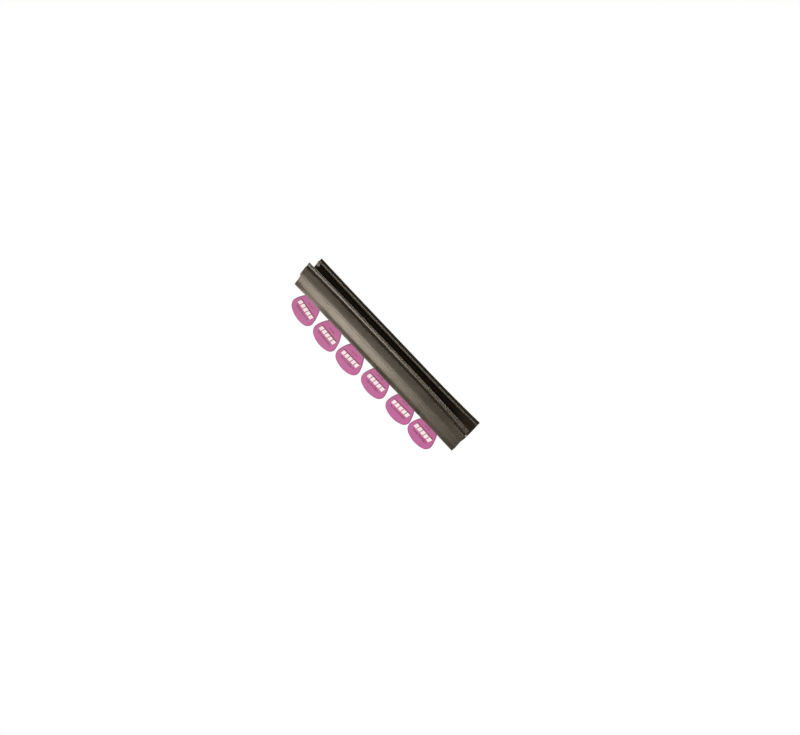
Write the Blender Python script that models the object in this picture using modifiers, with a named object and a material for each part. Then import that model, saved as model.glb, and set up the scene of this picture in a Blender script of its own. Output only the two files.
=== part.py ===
"""Clip-on holder for guitar picks: a sprung extruded clip with a soft gripping strip and six picks.

The clip is a C-shaped channel that snaps over a 16 mm stand tube. A thin back plate hangs from it,
and a soft strip bonded to its front carries a flap. The picks stand tip-up in the slot between the
plate and the flap. X runs along the tube, -Y is the front and Z is up, with the origin on the axis
of the channel at mid-length. Units are metres.
"""
import math

import bmesh
import bpy

MM = 0.001

# Clip
LENGTH = 190.5 * MM
BORE_RADIUS = 7.75 * MM
WALL = 1.95 * MM
OUTER_RADIUS = BORE_RADIUS + WALL
BACK_LIP_ANGLE = math.radians(150)
FRONT_LIP_ANGLE = math.radians(33)
ARC_STEP = math.radians(10)

# Back plate behind the picks
PLATE_REAR = 3.8 * MM
PLATE_FRONT = 5.35 * MM
PLATE_BOTTOM = -17.9 * MM
SLOT_CORNER = 0.4 * MM

# Soft strip on the front of the clip
BOND_GAP = 0.3 * MM
STRIP_TOP = 1.7 * MM
STRIP_FRONT = 11.5 * MM
STRIP_BOTTOM = -9.1 * MM

# Flap that presses on the picks
FLAP_INNER = 6.6 * MM
FLAP_OUTER = 7.9 * MM
FLAP_TOP = -9.4 * MM
FLAP_BOTTOM = -18.9 * MM
HINGE_DEPTH = 7.25 * MM
HINGE_HEIGHT = -9.25 * MM

# Where the mouth of the channel opens a little towards the cut ends, left (-1) and right (1)
SPREAD_RUN = 58.0 * MM
SPREAD_STEPS = 4
SPREAD_FRONT_FROM = math.radians(-55)
SPREAD_FRONT_TO = math.radians(15)
SPREAD_BACK_FADE = math.radians(50)
FRONT_DROP = {-1: 0.8 * MM, 1: 1.25 * MM}
BACK_RISE = {-1: 0.4 * MM, 1: 1.55 * MM}

# Picks, tip up, with the rounded butt hanging below the flap
PICK_WIDTH = 26.2 * MM
PICK_HEIGHT = 30.7 * MM
PICK_THICKNESS = 0.8 * MM
PICK_DEPTH = 5.97 * MM
BUTT_RADIUS = 21.5 * MM
SHOULDER_RADIUS = 7.5 * MM
SIDE_RADIUS = 33.5 * MM
TIP_RADIUS = 2.8 * MM
PICK_BEVEL = 0.15 * MM

# Along the slot, height of the butt, and lean of each pick in its own plane in degrees
PICK_PLACES = [
    (-75.7 * MM, -41.2 * MM, 10.6),
    (-46.0 * MM, -43.0 * MM, 4.6),
    (-16.9 * MM, -42.7 * MM, -1.2),
    (12.2 * MM, -40.3 * MM, 0.2),
    (42.4 * MM, -40.0 * MM, -2.1),
    (68.5 * MM, -40.4 * MM, 2.2),
]


def clear_scene():
    for item in list(bpy.data.objects):
        bpy.data.objects.remove(item, do_unlink=True)
    for group in list(bpy.data.collections):
        bpy.data.collections.remove(group)


def plastic(name, colour, roughness):
    material = bpy.data.materials.new(name)
    material.use_nodes = True
    shader = material.node_tree.nodes["Principled BSDF"]
    shader.inputs["Base Color"].default_value = (*colour, 1.0)
    shader.inputs["Roughness"].default_value = roughness
    shader.inputs["Metallic"].default_value = 0.0
    return material


def arc(centre, radius, start, end, step=ARC_STEP):
    """Points on an arc from one angle to another, both ends included."""
    count = max(2, math.ceil(abs(end - start) / step) + 1)
    points = []
    for i in range(count):
        angle = start + (end - start) * i / (count - 1)
        x = centre[0] + radius * math.cos(angle)
        z = centre[1] + radius * math.sin(angle)
        points.append((x, z))
    return points


def spread(x, depth, height):
    """Move a section point where the clip's mouth opens towards the ends of the strip."""
    side = 1 if x > 0 else -1
    reach = (abs(x) - (LENGTH / 2 - SPREAD_RUN)) / SPREAD_RUN
    if reach <= 0:
        return depth, height
    amount = reach * reach
    radius = math.hypot(depth, height)
    angle = math.atan2(height, depth)
    if angle < math.radians(-100):
        angle += math.tau
    if angle > math.radians(90):
        share = 1.0 - max(0.0, angle - BACK_LIP_ANGLE) / SPREAD_BACK_FADE
        radius += BACK_RISE[side] * amount * max(0.0, share)
    elif angle > SPREAD_FRONT_FROM:
        share = (angle - SPREAD_FRONT_FROM) / (SPREAD_FRONT_TO - SPREAD_FRONT_FROM)
        angle -= FRONT_DROP[side] / radius * amount * min(1.0, share)
    return radius * math.cos(angle), radius * math.sin(angle)


def stations():
    """Places along the strip where its section is set out, closer together near the ends."""
    half = LENGTH / 2
    steps = [SPREAD_RUN * i / SPREAD_STEPS for i in range(SPREAD_STEPS + 1)]
    left = [-half + step for step in steps]
    return left + [-x for x in reversed(left)]


def extrude_section(name, section, places, shape=None):
    """A closed solid with one section (front distance, height) swept along X."""
    mesh = bmesh.new()
    rings = []
    for x in places:
        ring = []
        for depth, height in section:
            if shape:
                depth, height = shape(x, depth, height)
            ring.append(mesh.verts.new((x, -depth, height)))
        rings.append(ring)
    count = len(section)
    for first, second in zip(rings, rings[1:]):
        for i in range(count):
            j = (i + 1) % count
            mesh.faces.new((first[i], first[j], second[j], second[i]))
    mesh.faces.new(list(reversed(rings[0])))
    mesh.faces.new(rings[-1])
    bmesh.ops.recalc_face_normals(mesh, faces=mesh.faces)
    data = bpy.data.meshes.new(name)
    mesh.to_mesh(data)
    mesh.free()
    return bpy.data.objects.new(name, data)


def clip_section():
    """The C-shaped channel with its flared lips and the plate that hangs from it."""
    bore = arc((0, 0), BORE_RADIUS, BACK_LIP_ANGLE, FRONT_LIP_ANGLE + math.tau)
    front_lip = [
        (7.15 * MM, 4.9 * MM),
        (7.4 * MM, 5.6 * MM),
        (7.95 * MM, 5.8 * MM),
        (8.55 * MM, 5.4 * MM),
        (9.1 * MM, 5.45 * MM),
        (9.5 * MM, 5.05 * MM),
        (9.4 * MM, 4.4 * MM),
    ]
    plate_angle = -math.acos(PLATE_FRONT / OUTER_RADIUS)
    front_wall = arc((0, 0), OUTER_RADIUS, math.radians(23), plate_angle)
    plate = [
        (PLATE_FRONT, PLATE_BOTTOM + SLOT_CORNER),
        (PLATE_FRONT - SLOT_CORNER, PLATE_BOTTOM),
        (PLATE_REAR + SLOT_CORNER, PLATE_BOTTOM),
        (PLATE_REAR, PLATE_BOTTOM + SLOT_CORNER),
    ]
    rear_angle = -math.acos(PLATE_REAR / OUTER_RADIUS)
    back_wall = arc((0, 0), OUTER_RADIUS, rear_angle, math.radians(166) - math.tau)
    back_lip = [
        (-10.15 * MM, 3.9 * MM),
        (-10.6 * MM, 5.2 * MM),
        (-10.6 * MM, 5.85 * MM),
        (-10.2 * MM, 6.0 * MM),
        (-9.45 * MM, 4.35 * MM),
        (-8.2 * MM, 3.9 * MM),
    ]
    return bore + front_lip + front_wall + plate + back_wall + back_lip


def strip_section():
    """The thick root of the soft strip, bonded over the front of the clip."""
    inner_radius = OUTER_RADIUS + BOND_GAP
    top_angle = math.asin(STRIP_TOP / inner_radius)
    low_angle = -math.acos(FLAP_INNER / inner_radius)
    bond = arc((0, 0), inner_radius, low_angle, top_angle)
    front = [
        (STRIP_FRONT - 0.9 * MM, STRIP_TOP),
        (STRIP_FRONT - 0.4 * MM, -0.5 * MM),
        (STRIP_FRONT, -2.5 * MM),
        (STRIP_FRONT, -5.8 * MM),
        (STRIP_FRONT - 0.5 * MM, -7.4 * MM),
        (STRIP_FRONT - 1.7 * MM, -8.5 * MM),
        (FLAP_OUTER, STRIP_BOTTOM),
    ]
    return bond + front + [(FLAP_INNER, STRIP_BOTTOM)]


def flap_section():
    """The thin flap below the root, rounded along its free edge."""
    middle = (FLAP_INNER + FLAP_OUTER) / 2
    half = (FLAP_OUTER - FLAP_INNER) / 2
    edge = arc((middle, FLAP_BOTTOM + half), half, 0, -math.pi, math.radians(30))
    top = [
        (FLAP_INNER, FLAP_TOP - 0.2 * MM),
        (FLAP_INNER + 0.2 * MM, FLAP_TOP),
        (FLAP_OUTER - 0.4 * MM, FLAP_TOP),
        (FLAP_OUTER, FLAP_TOP - 0.3 * MM),
    ]
    return edge + top


def circles_meet(first, first_radius, second, second_radius):
    """The left-hand point where two circles cross."""
    span = math.dist(first, second)
    along = (first_radius ** 2 - second_radius ** 2 + span ** 2) / (2 * span)
    aside = math.sqrt(first_radius ** 2 - along ** 2)
    ux = (second[0] - first[0]) / span
    uz = (second[1] - first[1]) / span
    crossings = []
    for sign in (-1, 1):
        x = first[0] + along * ux - sign * aside * uz
        z = first[1] + along * uz + sign * aside * ux
        crossings.append((x, z))
    return min(crossings)


def pick_outline():
    """A rounded triangle of tangent arcs, with the butt's lowest point at the origin."""
    shoulder_x = PICK_WIDTH / 2 - SHOULDER_RADIUS
    shoulder_z = BUTT_RADIUS - math.sqrt((BUTT_RADIUS - SHOULDER_RADIUS) ** 2 - shoulder_x ** 2)
    shoulder = (shoulder_x, shoulder_z)
    tip = (0.0, PICK_HEIGHT - TIP_RADIUS)
    side = circles_meet(shoulder, SIDE_RADIUS - SHOULDER_RADIUS, tip, SIDE_RADIUS - TIP_RADIUS)
    butt_end = math.atan2(shoulder_z - BUTT_RADIUS, shoulder_x)
    side_start = math.atan2(shoulder_z - side[1], shoulder_x - side[0])
    side_end = math.atan2(tip[1] - side[1], tip[0] - side[0])
    right = arc((0, BUTT_RADIUS), BUTT_RADIUS, -math.pi / 2, butt_end)
    right += arc(shoulder, SHOULDER_RADIUS, butt_end, side_start, math.radians(15))[1:]
    right += arc(side, SIDE_RADIUS, side_start, side_end, math.radians(6))[1:]
    right += arc(tip, TIP_RADIUS, side_end, math.pi / 2, math.radians(20))[1:]
    left = [(-x, z) for x, z in reversed(right[1:-1])]
    return right + left


def pick_mesh():
    """One pick, a flat sheet of plastic with eased edges."""
    mesh = bmesh.new()
    outline = pick_outline()
    front = [mesh.verts.new((x, -PICK_THICKNESS / 2, z)) for x, z in outline]
    face = mesh.faces.new(front)
    swept = bmesh.ops.extrude_face_region(mesh, geom=[face], use_keep_orig=True)
    for item in swept["geom"]:
        if isinstance(item, bmesh.types.BMVert):
            item.co.y += PICK_THICKNESS
    bmesh.ops.recalc_face_normals(mesh, faces=mesh.faces)
    data = bpy.data.meshes.new("pick")
    mesh.to_mesh(data)
    mesh.free()
    return data


def add_pick(number, data, place, material):
    along, butt_height, lean = place
    pick = bpy.data.objects.new(f"pick_{number}", data.copy())
    pick.location = (along, -PICK_DEPTH, butt_height)
    pick.rotation_euler = (0.0, math.radians(lean), 0.0)
    bevel = pick.modifiers.new("eased edge", "BEVEL")
    bevel.width = PICK_BEVEL
    bevel.segments = 1
    bevel.limit_method = "ANGLE"
    bevel.angle_limit = math.radians(60)
    pick.data.materials.append(material)
    return pick


def main():
    clear_scene()
    holder = bpy.data.collections.new("pick_holder")
    bpy.context.scene.collection.children.link(holder)

    hard = plastic("hard black vinyl", (0.016, 0.015, 0.013), 0.42)
    soft = plastic("soft grey vinyl", (0.060, 0.055, 0.045), 0.55)
    pick_plastic = plastic("orchid pick plastic", (0.50, 0.12, 0.38), 0.38)

    clip = extrude_section("clip_body", clip_section(), stations(), spread)
    root = extrude_section("grip_strip_root", strip_section(), stations(), spread)
    flap = extrude_section("grip_flap", flap_section(), (-LENGTH / 2, LENGTH / 2))

    hinge = bpy.data.objects.new("flap_hinge_line", None)
    hinge.location = (0.0, -HINGE_DEPTH, HINGE_HEIGHT)
    flap.data.transform(hinge.matrix_basis.inverted())
    flap.parent = hinge

    clip.data.materials.append(hard)
    root.data.materials.append(soft)
    flap.data.materials.append(soft)
    for item in (hinge, clip, root, flap):
        holder.objects.link(item)

    data = pick_mesh()
    for number, place in enumerate(PICK_PLACES, start=1):
        holder.objects.link(add_pick(number, data, place, pick_plastic))
    for item in holder.objects:
        if item.type == "MESH":
            item.data.shade_smooth()
            item.data.set_sharp_from_angle(angle=math.radians(35))
    bpy.context.view_layer.update()


main()
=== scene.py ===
import math
import bmesh
import bpy
from mathutils import Matrix, Vector


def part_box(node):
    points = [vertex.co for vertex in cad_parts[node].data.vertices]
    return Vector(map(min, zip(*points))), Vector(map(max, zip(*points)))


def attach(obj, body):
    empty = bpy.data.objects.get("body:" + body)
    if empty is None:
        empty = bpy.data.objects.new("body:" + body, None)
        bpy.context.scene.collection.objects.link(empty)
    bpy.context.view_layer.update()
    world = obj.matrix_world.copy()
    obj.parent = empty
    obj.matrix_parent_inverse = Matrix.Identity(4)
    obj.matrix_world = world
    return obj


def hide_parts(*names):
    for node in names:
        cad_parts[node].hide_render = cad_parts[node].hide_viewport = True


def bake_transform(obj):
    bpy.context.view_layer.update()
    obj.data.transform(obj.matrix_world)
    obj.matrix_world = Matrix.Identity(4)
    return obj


# Looks for a clip-on pick holder: extruded clip, soft gripping strip and six picks.
# X runs along the strip, -Y is the front, Z is up. Everything is in metres.

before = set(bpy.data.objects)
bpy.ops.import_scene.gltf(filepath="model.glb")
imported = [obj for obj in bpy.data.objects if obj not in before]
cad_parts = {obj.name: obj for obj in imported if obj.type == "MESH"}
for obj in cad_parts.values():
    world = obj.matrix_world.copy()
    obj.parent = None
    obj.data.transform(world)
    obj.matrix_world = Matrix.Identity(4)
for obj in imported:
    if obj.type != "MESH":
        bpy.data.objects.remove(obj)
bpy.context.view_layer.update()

mm = 0.001
clipEnds = [corner.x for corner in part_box("clip_body")]
halfLength = (clipEnds[1] - clipEnds[0]) / 2

cameraLook = {
    "azimuth": 10.1,  # degrees round from the front, towards the right-hand end
    "elevation": 28.4,
    "roll": 41.7,  # the strip runs down to the right across the frame
    "distance": 0.961,
    "asideX": 0.01746,  # how far the view's middle lies off the channel's axis
    "asideZ": -0.0061,
    "lens": 52.9,
    "sensor": 36.0,
}


def makeCamera(look):
    azimuth = math.radians(look["azimuth"])
    elevation = math.radians(look["elevation"])
    back = Vector((
        math.sin(azimuth) * math.cos(elevation),
        -math.cos(azimuth) * math.cos(elevation),
        math.sin(elevation),
    ))
    right = Vector((math.cos(azimuth), math.sin(azimuth), 0.0))
    up = back.cross(right)
    turn = Matrix((right, up, back)).transposed() @ Matrix.Rotation(math.radians(look["roll"]), 3, "Z")
    data = bpy.data.cameras.new("holderCamera")
    data.lens = look["lens"]
    data.sensor_width = look["sensor"]
    data.clip_start = 0.01
    data.clip_end = 20.0
    camera = bpy.data.objects.new("holderCamera", data)
    place = back * look["distance"] + right * look["asideX"] + up * look["asideZ"]
    camera.matrix_world = Matrix.Translation(place) @ turn.to_4x4()
    bpy.context.scene.collection.objects.link(camera)
    bpy.context.scene.camera = camera
    return back, right, up


viewBack, viewRight, viewUp = makeCamera(cameraLook)
print("camera made")


def startMaterial(name):
    material = bpy.data.materials.new(name)
    material.use_nodes = True
    nodes = material.node_tree.nodes
    nodes.clear()
    output = nodes.new("ShaderNodeOutputMaterial")
    shader = nodes.new("ShaderNodeBsdfPrincipled")
    material.node_tree.links.new(shader.outputs["BSDF"], output.inputs["Surface"])
    return material, nodes, material.node_tree.links, shader


# Noise on object coordinates, drawn out along the extrusion.
def stretchedNoise(nodes, links, scale, stretch, detail=3.0, rough=0.55):
    place = nodes.new("ShaderNodeTexCoord")
    mapping = nodes.new("ShaderNodeMapping")
    mapping.inputs["Scale"].default_value = stretch
    noise = nodes.new("ShaderNodeTexNoise")
    noise.inputs["Scale"].default_value = scale
    noise.inputs["Detail"].default_value = detail
    noise.inputs["Roughness"].default_value = rough
    links.new(place.outputs["Object"], mapping.inputs["Vector"])
    links.new(mapping.outputs["Vector"], noise.inputs["Vector"])
    return noise.outputs["Fac"]


# A value mapped to a range, or to a blend of two colours.
def ramp(nodes, links, value, low, high, fromLow=0.0, fromHigh=1.0):
    if isinstance(low, tuple):
        node = nodes.new("ShaderNodeValToRGB")
        node.color_ramp.elements[0].position = fromLow
        node.color_ramp.elements[0].color = (*low, 1.0)
        node.color_ramp.elements[1].position = fromHigh
        node.color_ramp.elements[1].color = (*high, 1.0)
        links.new(value, node.inputs["Fac"])
        return node.outputs["Color"]
    node = nodes.new("ShaderNodeMapRange")
    node.inputs["From Min"].default_value = fromLow
    node.inputs["From Max"].default_value = fromHigh
    node.inputs["To Min"].default_value = low
    node.inputs["To Max"].default_value = high
    links.new(value, node.inputs["Value"])
    return node.outputs["Result"]


def addBump(nodes, links, shader, height, distance, strength=1.0, under=None):
    bump = nodes.new("ShaderNodeBump")
    bump.inputs["Strength"].default_value = strength
    bump.inputs["Distance"].default_value = distance
    links.new(height, bump.inputs["Height"])
    if under:
        links.new(under, bump.inputs["Normal"])
    links.new(bump.outputs["Normal"], shader.inputs["Normal"])
    return bump.outputs["Normal"]


hardLook = {
    "dark": (0.022, 0.019, 0.015),
    "pale": (0.038, 0.033, 0.027),
    "rough": (0.27, 0.36),
    "lineScale": 900,  # noise scales of the draw lines, the cloudy tone and the grain
    "cloudScale": 70,
    "grainScale": 1100,
    "lineDepth": 0.00002,
    "grainDepth": 0.000003,
    "ior": 1.5,
}


def hardVinyl(look):
    material, nodes, links, shader = startMaterial("hardVinyl")
    drawLines = stretchedNoise(nodes, links, look["lineScale"], (0.03, 1.0, 1.0))
    cloud = stretchedNoise(nodes, links, look["cloudScale"], (0.4, 1.0, 1.0))
    grain = stretchedNoise(nodes, links, look["grainScale"], (0.3, 1.0, 1.0), 2.0)
    colour = ramp(nodes, links, cloud, look["dark"], look["pale"], 0.35, 0.7)
    links.new(colour, shader.inputs["Base Color"])
    rough = ramp(nodes, links, drawLines, *look["rough"], 0.3, 0.7)
    links.new(rough, shader.inputs["Roughness"])
    lines = addBump(nodes, links, shader, drawLines, look["lineDepth"], 0.4)
    addBump(nodes, links, shader, grain, look["grainDepth"], 0.4, lines)
    shader.inputs["IOR"].default_value = look["ior"]
    return material


softLook = {
    "dark": (0.022, 0.018, 0.013),
    "pale": (0.034, 0.029, 0.022),
    "rough": (0.30, 0.40),
    "lineScale": 700,
    "cloudScale": 60,
    "grainScale": 3000,
    "lineDepth": 0.00008,
    "grainDepth": 0.00002,
    "ior": 1.5,
    "sheen": 0.15,
    "sheenRough": 0.5,
}


def softVinyl(look):
    material, nodes, links, shader = startMaterial("softVinyl")
    drawLines = stretchedNoise(nodes, links, look["lineScale"], (0.02, 1.0, 1.0), 4.0)
    cloud = stretchedNoise(nodes, links, look["cloudScale"], (0.5, 1.0, 1.0), 4.0, 0.6)
    grain = stretchedNoise(nodes, links, look["grainScale"], (0.6, 1.0, 1.0), 2.0)
    colour = ramp(nodes, links, cloud, look["dark"], look["pale"], 0.35, 0.68)
    links.new(colour, shader.inputs["Base Color"])
    rough = ramp(nodes, links, cloud, *look["rough"], 0.3, 0.7)
    links.new(rough, shader.inputs["Roughness"])
    lines = addBump(nodes, links, shader, drawLines, look["lineDepth"], 0.5)
    addBump(nodes, links, shader, grain, look["grainDepth"], 0.5, lines)
    shader.inputs["IOR"].default_value = look["ior"]
    shader.inputs["Sheen Weight"].default_value = look["sheen"]
    shader.inputs["Sheen Roughness"].default_value = look["sheenRough"]
    return material


pickLook = {
    "body": (0.468, 0.100, 0.378),
    "bodyDeep": (0.408, 0.088, 0.343),
    # The rim colour is painted shade: a darker purple on the bevelled edges, standing in for the light
    # they lose as they turn away.
    "paintedRimShade": (0.19, 0.04, 0.16),
    "rough": (0.5, 0.62),
    "cloudScale": 130,
    "grainScale": 2600,
    "grainDepth": 0.000015,
    "glow": 0.12,  # how much light passes under the surface, and how far
    "glowDepth": 0.001,
}


def pickPlastic(look):
    material, nodes, links, shader = startMaterial("pickPlastic")
    cloud = stretchedNoise(nodes, links, look["cloudScale"], (1.0, 1.0, 1.0), 4.0, 0.6)
    grain = stretchedNoise(nodes, links, look["grainScale"], (1.0, 1.0, 1.0), 2.0)
    colour = ramp(nodes, links, cloud, look["bodyDeep"], look["body"], 0.35, 0.65)
    # The rim attribute mixes the darker colour in towards the edges: painted shade along the pick's
    # rim.
    paintedRimShade = nodes.new("ShaderNodeAttribute")
    paintedRimShade.attribute_name = "paintedRimShade"
    mix = nodes.new("ShaderNodeMix")
    mix.data_type = "RGBA"
    mix.inputs["B"].default_value = (*look["paintedRimShade"], 1.0)
    links.new(paintedRimShade.outputs["Fac"], mix.inputs["Factor"])
    links.new(colour, mix.inputs["A"])
    links.new(mix.outputs["Result"], shader.inputs["Base Color"])
    links.new(ramp(nodes, links, cloud, *look["rough"], 0.3, 0.7), shader.inputs["Roughness"])
    addBump(nodes, links, shader, grain, look["grainDepth"], 0.5)
    shader.inputs["Subsurface Weight"].default_value = look["glow"]
    shader.inputs["Subsurface Scale"].default_value = look["glowDepth"]
    return material


inkLook = {
    "white": (0.86, 0.84, 0.98),
    "dark": (0.15, 0.03, 0.09),
    "whiteWorn": 0.85,  # share of the colour left in the worn specks
    "darkWorn": 0.7,
    "rough": (0.5, 0.7),
    "speckScale": 1500,
    "speckDepth": 0.00001,
}


def printInk(look, shade):
    material, nodes, links, shader = startMaterial(shade + "Print")
    speck = stretchedNoise(nodes, links, look["speckScale"], (1.0, 1.0, 1.0), 2.0)
    worn = tuple(c * look[shade + "Worn"] for c in look[shade])
    links.new(ramp(nodes, links, speck, worn, look[shade], 0.3, 0.55), shader.inputs["Base Color"])
    links.new(ramp(nodes, links, speck, *look["rough"]), shader.inputs["Roughness"])
    addBump(nodes, links, shader, speck, look["speckDepth"], 0.5)
    return material


hardMaterial = hardVinyl(hardLook)
softMaterial = softVinyl(softLook)
pickMaterial = pickPlastic(pickLook)
whiteInk = printInk(inkLook, "white")
darkInk = printInk(inkLook, "dark")
print("materials made")


# Points on an arc between two angles in degrees, both ends included.
def arc(centre, radius, start, end, step=4.0):
    count = max(2, math.ceil(abs(end - start) / step) + 1)
    points = []
    for i in range(count):
        angle = math.radians(start + (end - start) * i / (count - 1))
        points.append((centre[0] + radius * math.cos(angle), centre[1] + radius * math.sin(angle)))
    return points


# A closed loop of edges, with front distance and height laid out for the sweep.
def sectionObject(name, points):
    data = bpy.data.meshes.new(name)
    count = len(points)
    vertices = [(-depth, height, 0.0) for depth, height in points]
    edges = [(i, (i + 1) % count) for i in range(count)]
    data.from_pydata(vertices, edges, [])
    item = bpy.data.objects.new(name, data)
    bpy.context.scene.collection.objects.link(item)
    return item


# A tree with a geometry input and output, and one named input for each size.
def startTree(name, inputs):
    tree = bpy.data.node_groups.new(name, "GeometryNodeTree")
    tree.interface.new_socket("Geometry", in_out="INPUT", socket_type="NodeSocketGeometry")
    for label, value in inputs.items():
        kind = "NodeSocketInt" if isinstance(value, int) else "NodeSocketFloat"
        if isinstance(value, bpy.types.Material):
            kind = "NodeSocketMaterial"
        socket = tree.interface.new_socket(label, in_out="INPUT", socket_type=kind)
        if kind != "NodeSocketMaterial":
            socket.default_value = value
    tree.interface.new_socket("Geometry", in_out="OUTPUT", socket_type="NodeSocketGeometry")
    given = tree.nodes.new("NodeGroupInput")
    made = tree.nodes.new("NodeGroupOutput")
    return tree, given.outputs, made.inputs["Geometry"]


def plug(tree, socket, value):
    if isinstance(value, bpy.types.NodeSocket):
        tree.links.new(value, socket)
    else:
        socket.default_value = value


def calc(tree, operation, first, second=None):
    node = tree.nodes.new("ShaderNodeMath")
    node.operation = operation
    for socket, value in zip(node.inputs, (first, second)):
        if value is not None:
            plug(tree, socket, value)
    return node.outputs["Value"]


def plus(tree, first, second):
    return calc(tree, "ADD", first, second)


def minus(tree, first, second):
    return calc(tree, "SUBTRACT", first, second)


def times(tree, first, second):
    return calc(tree, "MULTIPLY", first, second)


def over(tree, first, second):
    return calc(tree, "DIVIDE", first, second)


def between(tree, value, low, high, toLow=0.0, toHigh=1.0, smooth=True):
    node = tree.nodes.new("ShaderNodeMapRange")
    node.interpolation_type = "SMOOTHSTEP" if smooth else "LINEAR"
    for label, given in (("Value", value), ("From Min", low), ("From Max", high),
                         ("To Min", toLow), ("To Max", toHigh)):
        plug(tree, node.inputs[label], given)
    return node.outputs["Result"]


def positionParts(tree):
    position = tree.nodes.new("GeometryNodeInputPosition")
    split = tree.nodes.new("ShaderNodeSeparateXYZ")
    tree.links.new(position.outputs["Position"], split.inputs["Vector"])
    return split.outputs["X"], split.outputs["Y"], split.outputs["Z"]


def vector(tree, x=0.0, y=0.0, z=0.0):
    join = tree.nodes.new("ShaderNodeCombineXYZ")
    for label, value in (("X", x), ("Y", y), ("Z", z)):
        plug(tree, join.inputs[label], value)
    return join.outputs["Vector"]


def moveTo(tree, geometry, x, y, z):
    node = tree.nodes.new("GeometryNodeSetPosition")
    tree.links.new(geometry, node.inputs["Geometry"])
    tree.links.new(vector(tree, x, y, z), node.inputs["Position"])
    return node.outputs["Geometry"]


# A slow drift along the strip, the same for a whole section, as an extruder leaves it.
def wander(tree, seed, scale, amount):
    x, y, z = positionParts(tree)
    noise = tree.nodes.new("ShaderNodeTexNoise")
    noise.noise_dimensions = "1D"
    noise.inputs["Scale"].default_value = scale
    plug(tree, noise.inputs["W"], plus(tree, x, seed))
    return times(tree, minus(tree, noise.outputs[0], 0.5), amount)


# The section carried along X and closed at both cut ends.
def sweepSection(tree, section, length, stations):
    profile = tree.nodes.new("GeometryNodeMeshToCurve")
    tree.links.new(section, profile.inputs["Mesh"])
    line = tree.nodes.new("GeometryNodeCurvePrimitiveLine")
    half = times(tree, length, 0.5)
    tree.links.new(vector(tree, times(tree, half, -1.0)), line.inputs["Start"])
    tree.links.new(vector(tree, half), line.inputs["End"])
    spaced = tree.nodes.new("GeometryNodeResampleCurve")
    tree.links.new(line.outputs["Curve"], spaced.inputs["Curve"])
    plug(tree, spaced.inputs["Count"], stations)
    upright = tree.nodes.new("GeometryNodeSetCurveNormal")
    upright.mode = "FREE"
    upright.inputs["Normal"].default_value = (0.0, 1.0, 0.0)
    tree.links.new(spaced.outputs["Curve"], upright.inputs["Curve"])
    sweep = tree.nodes.new("GeometryNodeCurveToMesh")
    sweep.inputs["Fill Caps"].default_value = True
    tree.links.new(upright.outputs["Curve"], sweep.inputs["Curve"])
    tree.links.new(profile.outputs["Curve"], sweep.inputs["Profile Curve"])
    return sweep.outputs["Mesh"]


# Both ends are cut a little out of square, so the section leans along X with height.
def sawCut(tree, x, z, slant, level):
    return plus(tree, x, times(tree, minus(tree, level, z), slant))


def finishTree(tree, geometry, material, output):
    real = tree.nodes.new("GeometryNodeRealizeInstances")
    tree.links.new(geometry, real.inputs["Geometry"])
    paint = tree.nodes.new("GeometryNodeSetMaterial")
    tree.links.new(real.outputs["Geometry"], paint.inputs["Geometry"])
    plug(tree, paint.inputs["Material"], material)
    tree.links.new(paint.outputs["Geometry"], output)


# The tree applied to an object, with the result kept as a plain mesh.
def runTree(tree, item, values, name):
    modifier = item.modifiers.new(name, "NODES")
    modifier.node_group = tree
    for socket in tree.interface.items_tree:
        if socket.item_type == "SOCKET" and socket.in_out == "INPUT" and socket.name in values:
            modifier[socket.identifier] = values[socket.name]
    depsgraph = bpy.context.evaluated_depsgraph_get()
    data = bpy.data.meshes.new_from_object(item.evaluated_get(depsgraph))
    data.name = name
    made = bpy.data.objects.new(name, data)
    bpy.context.scene.collection.objects.link(made)
    item.modifiers.remove(modifier)
    return made


# Doubles merged, faces turned outwards, smooth with sharp edges kept.
def tidyMesh(item, sharpAngle):
    work = bmesh.new()
    work.from_mesh(item.data)
    bmesh.ops.remove_doubles(work, verts=work.verts, dist=0.000002)
    bmesh.ops.recalc_face_normals(work, faces=work.faces)
    work.to_mesh(item.data)
    work.free()
    item.data.shade_smooth()
    item.data.set_sharp_from_angle(angle=math.radians(sharpAngle))


def easeEdges(item, width, angle):
    bevel = item.modifiers.new("easedEdges", "BEVEL")
    bevel.width = width
    bevel.segments = 2
    bevel.limit_method = "ANGLE"
    bevel.angle_limit = math.radians(angle)
    bevel.harden_normals = False


mouthLook = {
    "run": 58.0,  # how far in from each cut end the mouth begins to open, millimetres
    "frontDropLeft": 0.8,
    "frontDropRight": 1.25,
    "backRiseLeft": 0.4,
    "backRiseRight": 1.55,
    "frontTurn": (-55.0, 15.0),  # where the front wall begins to move and where it moves in full
    "backTurn": (200.0, 150.0),  # the same for the back wall, in degrees round from the front
    "cutSlant": 0.045,  # sideways lean of the cut ends for each unit of height
    "cutLevel": 3.0,
}

mouthInputs = {
    "Length": 0.19,
    "Stations": 100,
    "Spread Run": 0.05,
    "Front Drop Left": 0.001,
    "Front Drop Right": 0.001,
    "Back Rise Left": 0.001,
    "Back Rise Right": 0.001,
    "Cut Slant": 0.04,
    "Cut Level": 0.003,
}


def mouthValues(look):
    return {
        "Length": halfLength * 2,
        "Spread Run": look["run"] * mm,
        "Front Drop Left": look["frontDropLeft"] * mm,
        "Front Drop Right": look["frontDropRight"] * mm,
        "Back Rise Left": look["backRiseLeft"] * mm,
        "Back Rise Right": look["backRiseRight"] * mm,
        "Cut Slant": look["cutSlant"],
        "Cut Level": look["cutLevel"] * mm,
    }


# 0 along the middle of the strip, growing to 1 at both cut ends.
def spreadAmount(tree, given, x):
    start = minus(tree, times(tree, given["Length"], 0.5), given["Spread Run"])
    reach = over(tree, minus(tree, calc(tree, "ABSOLUTE", x), start), given["Spread Run"])
    reach = calc(tree, "MAXIMUM", reach, 0.0)
    return times(tree, reach, reach)


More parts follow.
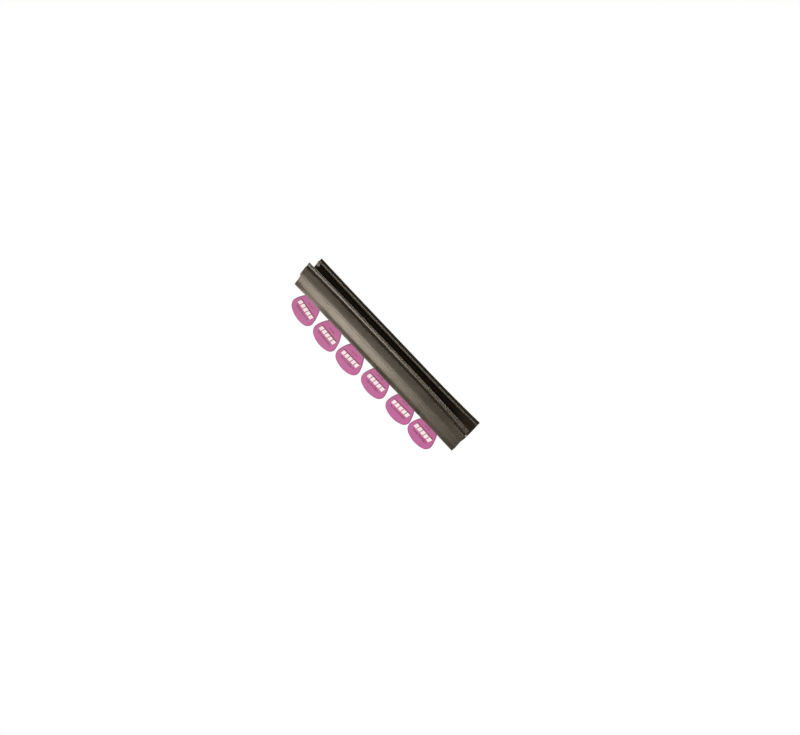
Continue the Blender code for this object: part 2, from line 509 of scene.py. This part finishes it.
def bySide(tree, x, left, right):
    rightEnd = calc(tree, "GREATER_THAN", x, 0.0)
    leftEnd = minus(tree, 1.0, rightEnd)
    return plus(tree, times(tree, rightEnd, right), times(tree, leftEnd, left))


# Radius and angle about the channel's axis: 0 at the front, 90 degrees at the top, 180 behind.
def toPolar(tree, y, z):
    depth = times(tree, y, -1.0)
    radius = calc(tree, "SQRT", plus(tree, times(tree, depth, depth), times(tree, z, z)))
    angle = calc(tree, "ARCTAN2", z, depth)
    behind = calc(tree, "LESS_THAN", angle, math.radians(-100))
    return radius, plus(tree, angle, times(tree, behind, math.tau))


def fromPolar(tree, radius, angle):
    depth = times(tree, radius, calc(tree, "COSINE", angle))
    return times(tree, depth, -1.0), times(tree, radius, calc(tree, "SINE", angle))


# The front wall turns down about the channel's axis as the mouth opens.
def turnFront(tree, given, x, radius, angle):
    drop = bySide(tree, x, given["Front Drop Left"], given["Front Drop Right"])
    start, full = (math.radians(degrees) for degrees in mouthLook["frontTurn"])
    share = between(tree, angle, start, full, smooth=False)
    share = times(tree, share, calc(tree, "LESS_THAN", angle, math.radians(90)))
    slip = times(tree, times(tree, drop, spreadAmount(tree, given, x)), share)
    return minus(tree, angle, over(tree, slip, radius))


# The back wall moves straight out.
def liftBack(tree, given, x, radius, angle):
    rise = bySide(tree, x, given["Back Rise Left"], given["Back Rise Right"])
    start, full = (math.radians(degrees) for degrees in mouthLook["backTurn"])
    share = between(tree, angle, start, full, smooth=False)
    share = times(tree, share, calc(tree, "GREATER_THAN", angle, math.radians(90)))
    return plus(tree, radius, times(tree, times(tree, rise, spreadAmount(tree, given, x)), share))


clipLook = {
    "bore": 7.75,  # millimetres
    "wall": 1.95,
    "backLip": 151.5,  # where the bore stops, in degrees round from the front
    "frontLip": 33.0,
    "frontWallTop": 23.0,
    "backWallTop": 166.0,
    "firstBead": (7.95, 5.35, 0.75),  # front distance, height and radius of the lip's two ridges
    "secondBead": (9.0, 5.2, 0.44),
    "lipStart": (7.0, 4.85),
    "backFin": ((-9.75, 2.9), (-10.2, 4.0), (-10.55, 5.1)),  # front distances and heights
    "finTip": (-10.35, 5.75, 0.28),
    "backStep": (  # from the fin down into the bore
        (-9.8, 5.1), (-9.5, 4.3), (-9.38, 3.98), (-9.22, 3.84), (-8.9, 3.74), (-8.2, 3.62),
        (-7.95, 3.57), (-7.6, 3.55), (-7.0, 3.6),
    ),
    "plateFront": 5.35,
    "plateRear": 3.8,
    "plateBottom": -17.9,
    "plateCorner": 0.5,
    "edge": 0.12,  # width of the eased edges, and the least angle that is eased
    "edgeAngle": 60,
    "sharpAngle": 40,
    "driftScale": 18.0,
    "stations": 110,
}


def clipSection(look):
    outer = look["bore"] + look["wall"]
    bore = arc((0, 0), look["bore"], look["backLip"], look["frontLip"] + 360.0)
    first, second = look["firstBead"], look["secondBead"]
    frontLip = [look["lipStart"]]
    frontLip += arc(first[:2], first[2], 165.0, 10.0, 15.0)
    frontLip += arc(second[:2], second[2], 75.0, -75.0, 15.0)
    plateAngle = -math.degrees(math.acos(look["plateFront"] / outer))
    frontWall = arc((0, 0), outer, look["frontWallTop"], plateAngle)
    corner = look["plateCorner"]
    low = look["plateBottom"] + corner
    plate = [(look["plateFront"], low)]
    plate += arc((look["plateFront"] - corner, low), corner, 0.0, -90.0, 18.0)[1:]
    plate += arc((look["plateRear"] + corner, low), corner, -90.0, -180.0, 18.0)
    rearAngle = -math.degrees(math.acos(look["plateRear"] / outer))
    backWall = arc((0, 0), outer, rearAngle, look["backWallTop"] - 360.0)
    tip = look["finTip"]
    backLip = [*look["backFin"], *arc(tip[:2], tip[2], 175.0, 35.0, 20.0), *look["backStep"]]
    points = bore + frontLip + frontWall + plate + backWall + backLip
    return [(x * mm, z * mm) for x, z in points]


def clipTree(look, material):
    inputs = {**mouthInputs, "Drift": 0.00005, "Seed": 3.0, "Material": material}
    tree, given, made = startTree("clipSweep", inputs)
    swept = sweepSection(tree, given["Geometry"], given["Length"], given["Stations"])
    x, y, z = positionParts(tree)
    radius, angle = toPolar(tree, y, z)
    newAngle = turnFront(tree, given, x, radius, angle)
    newRadius = liftBack(tree, given, x, radius, angle)
    turnedY, turnedZ = fromPolar(tree, newRadius, newAngle)
    drift = wander(tree, given["Seed"], look["driftScale"], given["Drift"])
    newX = sawCut(tree, x, z, given["Cut Slant"], given["Cut Level"])
    moved = moveTo(tree, swept, newX, plus(tree, turnedY, drift), plus(tree, turnedZ, drift))
    finishTree(tree, moved, given["Material"], made)
    return tree


def makeClip(look):
    section = sectionObject("clipSection", clipSection(look))
    values = mouthValues(mouthLook)
    values["Stations"] = look["stations"]
    values["Material"] = hardMaterial
    clip = runTree(clipTree(look, hardMaterial), section, values, "clipChannel")
    bpy.data.objects.remove(section)
    tidyMesh(clip, look["sharpAngle"])
    easeEdges(clip, look["edge"] * mm, look["edgeAngle"])
    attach(clip, "clip")
    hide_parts("clip_body")


makeClip(clipLook)
print("clip made")


stripLook = {
    "bond": 9.75,  # radius of the clip's wall that the strip is bonded to, millimetres
    "top": 1.75,
    "front": 11.5,
    "topInset": 1.2,
    "topCorner": 0.4,
    "rootFront": (  # distances back from the front and below the top
        (0.73, 1.0), (0.59, 1.9), (0.45, 2.9), (0.31, 4.0), (0.16, 5.2), (0.01, 6.6),
    ),
    "footCorner": 1.0,
    "footHeight": -6.3,
    "rootUnder": ((10.3, -7.4), (9.5, -7.66), (9.0, -7.9), (8.78, -8.17), (8.7, -8.7)),
    "flapTop": -9.5,  # where the thick root ends and the flap begins
    "flapInner": 6.6,
    "flapMiddle": (  # front distance and height down the middle of the flap
        (7.65, -9.5), (7.55, -10.5), (7.43, -11.5), (7.31, -12.5), (7.22, -13.5), (7.17, -14.4),
        (7.16, -15.2), (7.2, -16.0), (7.26, -16.9), (7.32, -17.8), (7.36, -18.75),
    ),
    "flapHalf": (0.98, 0.92, 0.85, 0.78, 0.71, 0.65, 0.6, 0.55, 0.48, 0.38, 0.2),
    "flareFrom": -13.2,  # the lip turns out below this height
    "flareRise": 1.3,  # how much higher it starts between picks
    "flare": 1.5,  # how far out the lip stands at its edge
    "hold": (0.3, 0.6, 0.7, 0.75, 0.65, 0.45),  # how much of the flare is left at each pick
    "flapBottom": -18.95,
    "press": 0.18,  # how far the flap leans on a pick
    "relax": 0.75,  # how far it falls in between picks
    "leanCurve": 1.4,  # powers that keep the bend near the free edge
    "lipCurve": 1.5,
    "grip": 11.5,  # half the width of flap that a pick lifts
    "soft": 6.0,
    "sharpAngle": 50,
    "driftScale": 22.0,
    "stations": 260,
}


def stripSection(look):
    bond, top, front = look["bond"], look["top"], look["front"]
    lowAngle = -math.degrees(math.acos(look["flapInner"] / bond))
    points = arc((0, 0), bond, lowAngle, math.degrees(math.asin(top / bond)))
    corner, foot = look["topCorner"], look["footCorner"]
    points += arc((front - look["topInset"], top - corner), corner, 90.0, 15.0, 15.0)
    points += [(front - back, top - below) for back, below in look["rootFront"]]
    points += arc((front - foot, look["footHeight"]), foot, -4.0, -60.0, 8.0)
    points += look["rootUnder"]
    middle = look["flapMiddle"]
    for i, (depth, height) in enumerate(middle):
        points.append((depth + look["flapHalf"][i], height))
    tip, half = middle[-1], look["flapHalf"][-1]
    points += arc((tip[0], tip[1]), half, -20.0, -160.0, 20.0)
    for i in reversed(range(len(middle))):
        points.append((middle[i][0] - look["flapHalf"][i], middle[i][1]))
    return [(x * mm, z * mm) for x, z in points]


# How much of the flap is held out by picks, and how much of the lip's flare that leaves.
def pickHold(tree, given, x, pickNames):
    near = minus(tree, given["Grip"], given["Soft"])
    far = plus(tree, given["Grip"], given["Soft"])
    lifted = 0.0
    flareLeft = 1.0
    for name in pickNames:
        away = calc(tree, "ABSOLUTE", minus(tree, x, given[name + " Place"]))
        pressed = between(tree, away, far, near)
        lifted = calc(tree, "MAXIMUM", pressed, lifted)
        lost = times(tree, pressed, minus(tree, 1.0, given[name + " Hold"]))
        flareLeft = times(tree, minus(tree, 1.0, lost), flareLeft)
    return lifted, flareLeft


def stripTree(look, material, pickNames):
    inputs = {
        **mouthInputs, "Drift": 0.00006, "Seed": 8.0, "Flap Top": -0.0095, "Flap Bottom": -0.018,
        "Press": 0.0002, "Relax": 0.001, "Flare": 0.0005, "Flare From": -0.014, "Flare Rise": 0.001,
        "Grip": 0.01, "Soft": 0.005,
    }
    for name in pickNames:
        inputs[name + " Place"] = 0.0
        inputs[name + " Hold"] = 1.0
    inputs["Material"] = material
    tree, given, made = startTree("stripSweep", inputs)
    swept = sweepSection(tree, given["Geometry"], given["Length"], given["Stations"])
    x, y, z = positionParts(tree)
    radius, angle = toPolar(tree, y, z)
    turnedY, turnedZ = fromPolar(tree, radius, turnFront(tree, given, x, radius, angle))
    lifted, flareLeft = pickHold(tree, given, x, pickNames)
    loose = minus(tree, 1.0, lifted)
    down = between(tree, z, given["Flap Top"], given["Flap Bottom"], smooth=False)
    down = calc(tree, "POWER", down, look["leanCurve"])
    sag = times(tree, loose, minus(tree, given["Relax"], given["Press"]))
    inward = times(tree, down, plus(tree, given["Press"], sag))
    flareTop = plus(tree, given["Flare From"], times(tree, loose, given["Flare Rise"]))
    lip = between(tree, z, flareTop, given["Flap Bottom"], smooth=False)
    lip = calc(tree, "POWER", lip, look["lipCurve"])
    flare = times(tree, lip, times(tree, given["Flare"], flareLeft))
    drift = wander(tree, given["Seed"], look["driftScale"], given["Drift"])
    newX = sawCut(tree, x, z, given["Cut Slant"], given["Cut Level"])
    newY = plus(tree, plus(tree, turnedY, drift), minus(tree, inward, flare))
    newZ = plus(tree, turnedZ, times(tree, drift, down))
    finishTree(tree, moveTo(tree, swept, newX, newY, newZ), given["Material"], made)
    return tree


def makeStrip(look, pickNames):
    values = mouthValues(mouthLook)
    values["Stations"] = look["stations"]
    values["Material"] = softMaterial
    lengths = {
        "Flap Top": "flapTop", "Flap Bottom": "flapBottom", "Press": "press", "Relax": "relax",
        "Flare": "flare", "Flare From": "flareFrom", "Flare Rise": "flareRise", "Grip": "grip",
        "Soft": "soft",
    }
    for label, key in lengths.items():
        values[label] = look[key] * mm
    for name, hold in zip(pickNames, look["hold"]):
        low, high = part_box(name)
        values[name + " Place"] = (low.x + high.x) / 2
        values[name + " Hold"] = hold
    section = sectionObject("stripSection", stripSection(look))
    strip = runTree(stripTree(look, softMaterial, pickNames), section, values, "gripStrip")
    bpy.data.objects.remove(section)
    tidyMesh(strip, look["sharpAngle"])
    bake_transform(strip)
    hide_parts("grip_strip_root", "grip_flap")


pickNames = sorted(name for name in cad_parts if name.startswith("pick_"))
makeStrip(stripLook, pickNames)
print("soft strip made")


pickShape = {
    "width": 26.2,  # millimetres
    "height": 30.7,
    "butt": 21.5,
    "shoulder": 7.5,
    "side": 33.5,
    "tip": 2.8,
    "thickness": 0.8,
    "rimWidth": 1.1,
    # The last column of the rim rings is the share of painted rim shade at each ring.
    "rimRings": ((0.55, 0.02, 0.35), (0.26, 0.09, 0.75), (0.08, 0.22, 1.0)),  # inset, drop, share
    "leans": (10.6, 4.6, -1.2, 0.2, -2.1, 2.2),  # degrees, one for each pick from the left
}


# Tangent arcs from the butt round the shoulder and side to the tip, then mirrored.
def pickOutline(shape):
    shoulderX = shape["width"] / 2 - shape["shoulder"]
    shoulderZ = shape["butt"] - math.sqrt((shape["butt"] - shape["shoulder"]) ** 2 - shoulderX ** 2)
    tipZ = shape["height"] - shape["tip"]
    first = shape["side"] - shape["shoulder"]
    second = shape["side"] - shape["tip"]
    span = math.dist((shoulderX, shoulderZ), (0, tipZ))
    along = (first ** 2 - second ** 2 + span ** 2) / (2 * span)
    aside = math.sqrt(first ** 2 - along ** 2)
    ux, uz = -shoulderX / span, (tipZ - shoulderZ) / span
    side = (shoulderX + along * ux - aside * uz, shoulderZ + along * uz + aside * ux)
    buttEnd = math.degrees(math.atan2(shoulderZ - shape["butt"], shoulderX))
    sideStart = math.degrees(math.atan2(shoulderZ - side[1], shoulderX - side[0]))
    sideEnd = math.degrees(math.atan2(tipZ - side[1], -side[0]))
    right = arc((0, shape["butt"]), shape["butt"], -90.0, buttEnd, 3.0)
    right += arc((shoulderX, shoulderZ), shape["shoulder"], buttEnd, sideStart, 6.0)[1:]
    right += arc(side, shape["side"], sideStart, sideEnd, 2.5)[1:]
    right += arc((0, tipZ), shape["tip"], sideEnd, 90.0, 8.0)[1:]
    left = [(-x, z) for x, z in reversed(right[1:-1])]
    return [Vector((x * mm, 0.0, z * mm)) for x, z in right + left]


# The matrix from a pick's own plane to its place in the slot, read off the frame.
def pickPlace(name):
    lean = math.radians(pickShape["leans"][pickNames.index(name)])
    turn = Matrix.Rotation(lean, 4, "Y")
    turned = [turn @ point for point in pickOutline(pickShape)]
    low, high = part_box(name)
    middleX = (min(p.x for p in turned) + max(p.x for p in turned)) / 2
    lowest = min(p.z for p in turned)
    move = Vector(((low.x + high.x) / 2 - middleX, (low.y + high.y) / 2, low.z - lowest))
    return Matrix.Translation(move) @ turn


# Inset from the outline, distance from the middle plane, and share of the painted rim shade.
def pickRings(shape):
    half = shape["thickness"] / 2
    rings = [(shape["rimWidth"] * 1.6, half, 0.0), (shape["rimWidth"], half, 0.0)]
    rings += [(inset, half - drop, paintedRimShade) for inset, drop, paintedRimShade in shape["rimRings"]]
    rings += [(0.0, 0.0, 1.0)]
    return rings + [(inset, -depth, paintedRimShade) for inset, depth, paintedRimShade in reversed(rings[:-1])]


def makePick(name):
    outline = pickOutline(pickShape)
    count = len(outline)
    inward = []
    for i in range(count):
        tangent = (outline[(i + 1) % count] - outline[i - 1]).normalized()
        inward.append(Vector((-tangent.z, 0.0, tangent.x)))
    mesh = bmesh.new()
    # Per-vertex share of the painted shade along the pick's edges.
    paintedRimShadeLayer = mesh.verts.layers.float.new("paintedRimShade")
    rings = []
    for inset, depth, paintedRimShade in pickRings(pickShape):
        ring = []
        for point, toMiddle in zip(outline, inward):
            vertex = mesh.verts.new(point + toMiddle * inset * mm + Vector((0.0, -depth * mm, 0.0)))
            vertex[paintedRimShadeLayer] = paintedRimShade
            ring.append(vertex)
        rings.append(ring)
    for first, second in zip(rings, rings[1:]):
        for i in range(count):
            mesh.faces.new((first[i], first[(i + 1) % count], second[(i + 1) % count], second[i]))
    mesh.faces.new(rings[0])
    mesh.faces.new(list(reversed(rings[-1])))
    mesh.transform(pickPlace(name))
    bmesh.ops.recalc_face_normals(mesh, faces=mesh.faces)
    data = bpy.data.meshes.new(name + "Shown")
    mesh.to_mesh(data)
    mesh.free()
    data.shade_smooth()
    data.materials.append(pickMaterial)
    pick = bpy.data.objects.new(name + "Shown", data)
    bpy.context.scene.collection.objects.link(pick)
    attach(pick, name)
    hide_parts(name)


for name in pickNames:
    makePick(name)
print("picks made")


printLook = {
    "rows": {
        "Block": {"count": 5, "pitch": 3.8, "width": 2.95, "height": 4.1, "up": 12.3, "slant": 0.22,
                  "vary": 0.0, "lift": 0.03, "ink": whiteInk},
        "Shade": {"count": 5, "pitch": 3.8, "width": 3.5, "height": 1.3, "up": 14.9, "slant": 0.22,
                  "vary": 0.15, "lift": 0.012, "ink": darkInk},
        "Tick": {"count": 9, "pitch": 1.8, "width": 1.1, "height": 2.5, "up": 7.9, "slant": -0.3,
                 "vary": 0.7, "lift": 0.015, "ink": darkInk},
        "Dash": {"count": 2, "pitch": 3.6, "width": 2.7, "height": 0.8, "up": 18.6, "slant": 0.0,
                 "vary": 0.2, "lift": 0.015, "ink": darkInk},
    },
}


def printTree(look):
    sizes = {"Seed": 1}
    for row, size in look["rows"].items():
        sizes[row + " Count"] = size["count"]
        for part in ("pitch", "width", "height", "up", "slant", "vary", "lift"):
            sizes[f"{row} {part.title()}"] = float(size[part])
    tree, given, made = startTree("printRows", sizes)
    join = tree.nodes.new("GeometryNodeJoinGeometry")
    for row, size in look["rows"].items():
        count = given[row + " Count"]
        pitch = given[row + " Pitch"]
        line = tree.nodes.new("GeometryNodeMeshLine")
        tree.links.new(count, line.inputs["Count"])
        gaps = minus(tree, count, 1.0)
        begin = times(tree, gaps, times(tree, pitch, -0.5))
        tree.links.new(vector(tree, begin, 0.0, given[row + " Up"]), line.inputs["Start Location"])
        tree.links.new(vector(tree, pitch), line.inputs["Offset"])
        block = tree.nodes.new("GeometryNodeMeshCube")
        block.inputs["Vertices X"].default_value = 3
        block.inputs["Vertices Z"].default_value = 3
        blockSize = vector(tree, given[row + " Width"], given[row + " Lift"], given[row + " Height"])
        tree.links.new(blockSize, block.inputs["Size"])
        x, y, z = positionParts(tree)
        slantX = plus(tree, x, times(tree, z, given[row + " Slant"]))
        slanted = moveTo(tree, block.outputs["Mesh"], slantX, y, z)
        random = tree.nodes.new("FunctionNodeRandomValue")
        tree.links.new(given["Seed"], random.inputs["Seed"])
        varied = minus(tree, 1.0, times(tree, random.outputs["Value"], given[row + " Vary"]))
        spread = tree.nodes.new("GeometryNodeInstanceOnPoints")
        tree.links.new(line.outputs["Mesh"], spread.inputs["Points"])
        tree.links.new(slanted, spread.inputs["Instance"])
        tree.links.new(vector(tree, 1.0, 1.0, varied), spread.inputs["Scale"])
        finishTree(tree, spread.outputs["Instances"], size["ink"], join.inputs["Geometry"])
    tree.links.new(join.outputs["Geometry"], made)
    return tree


def makePrints(look):
    tree = printTree(look)
    values = {}
    for row, size in look["rows"].items():
        values[row + " Count"] = size["count"]
        values[row + " Slant"] = size["slant"]
        values[row + " Vary"] = size["vary"]
        for part in ("pitch", "width", "height", "up", "lift"):
            values[f"{row} {part.title()}"] = size[part] * mm
    face = Matrix.Translation((0.0, -pickShape["thickness"] / 2 * mm, 0.0))
    for number, name in enumerate(pickNames, start=1):
        empty = bpy.data.objects.new("printStart", bpy.data.meshes.new("printStart"))
        bpy.context.scene.collection.objects.link(empty)
        values["Seed"] = number
        marks = runTree(tree, empty, values, f"printMarks_{number}")
        bpy.data.objects.remove(empty)
        marks.data.transform(pickPlace(name) @ face)
        marks.data.shade_flat()
        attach(marks, name)


makePrints(printLook)
print("prints made")


studioLook = {
    "floorDrop": 1.35,  # the holder hangs at about the height of a stand's boom
    "floorSize": 16.0,
    "floorColour": (0.30, 0.30, 0.29, 1.0),
    "floorRough": 0.9,
    "floorSeen": 1.0,
    "worldSeen": 1.0,
    "worldLight": 0.16,
    "worldColour": (1.0, 0.92, 0.80, 1.0),
}

# Angles are degrees up from the view line, and side is how far right of it a softbox stands.
softboxes = {
    "keySoftbox": {
        "angle": -74.0, "side": -0.41, "distance": 0.78, "size": (0.17, 0.6), "power": 5.0,
        "colour": (1.0, 0.87, 0.71),
    },
    "rimSoftbox": {
        "angle": 68.0, "side": -0.2, "distance": 1.1, "size": (0.9, 0.25), "power": 13.0,
        "colour": (1.0, 0.87, 0.71),
    },
    "fillSoftbox": {
        "angle": -42.0, "side": 1.1, "distance": 0.85, "size": (0.4, 0.4), "power": 5.6,
        "colour": (1.0, 0.87, 0.72),
    },
    "backSoftbox": {
        "angle": 152.0, "side": -0.7, "distance": 1.3, "size": (1.2, 0.8), "power": 14.0,
        "colour": (1.0, 0.92, 0.82),
    },
}


def makeWorld(look):
    world = bpy.data.worlds.new("studio")
    bpy.context.scene.world = world
    world.use_nodes = True
    nodes, links = world.node_tree.nodes, world.node_tree.links
    nodes.clear()
    output = nodes.new("ShaderNodeOutputWorld")
    mix = nodes.new("ShaderNodeMixShader")
    path = nodes.new("ShaderNodeLightPath")
    white = (1.0, 1.0, 1.0, 1.0)
    glows = ((1, look["worldColour"], look["worldLight"]), (2, white, look["worldSeen"]))
    for slot, colour, strength in glows:
        glow = nodes.new("ShaderNodeBackground")
        glow.inputs["Color"].default_value = colour
        glow.inputs["Strength"].default_value = strength
        links.new(glow.outputs["Background"], mix.inputs[slot])
    links.new(path.outputs["Is Camera Ray"], mix.inputs["Fac"])
    links.new(mix.outputs["Shader"], output.inputs["Surface"])


# Pale and matt; it shows white to the camera and stays dim as a light source.
def makeFloor(look):
    material, nodes, links, shader = startMaterial("paleFloor")
    shader.inputs["Base Color"].default_value = look["floorColour"]
    shader.inputs["Roughness"].default_value = look["floorRough"]
    glow = nodes.new("ShaderNodeEmission")
    glow.inputs["Strength"].default_value = look["floorSeen"]
    mix = nodes.new("ShaderNodeMixShader")
    path = nodes.new("ShaderNodeLightPath")
    output = [node for node in nodes if node.type == "OUTPUT_MATERIAL"][0]
    links.new(path.outputs["Is Camera Ray"], mix.inputs["Fac"])
    links.new(shader.outputs["BSDF"], mix.inputs[1])
    links.new(glow.outputs["Emission"], mix.inputs[2])
    links.new(mix.outputs["Shader"], output.inputs["Surface"])
    bpy.ops.mesh.primitive_grid_add(size=look["floorSize"], location=(0, 0, -look["floorDrop"]))
    floor = bpy.context.object
    floor.name = "paleFloor"
    floor.data.materials.append(material)


def makeLight(name, look):
    angle = math.radians(look["angle"])
    direction = viewBack * math.cos(angle) + viewUp * math.sin(angle) + viewRight * look["side"]
    direction.normalize()
    data = bpy.data.lights.new(name, "AREA")
    data.shape = "RECTANGLE"
    data.size, data.size_y = look["size"]
    data.energy = look["power"]
    data.color = look["colour"]
    light = bpy.data.objects.new(name, data)
    across = Vector((1.0, 0.0, 0.0))
    across = (across - direction * across.dot(direction)).normalized()
    turn = Matrix((across, direction.cross(across), direction)).transposed()
    light.matrix_world = Matrix.Translation(direction * look["distance"]) @ turn.to_4x4()
    light.visible_camera = False
    bpy.context.scene.collection.objects.link(light)


makeWorld(studioLook)
makeFloor(studioLook)
for name, look in softboxes.items():
    makeLight(name, look)
bpy.context.scene.view_settings.view_transform = "Standard"
print("stage and light made")
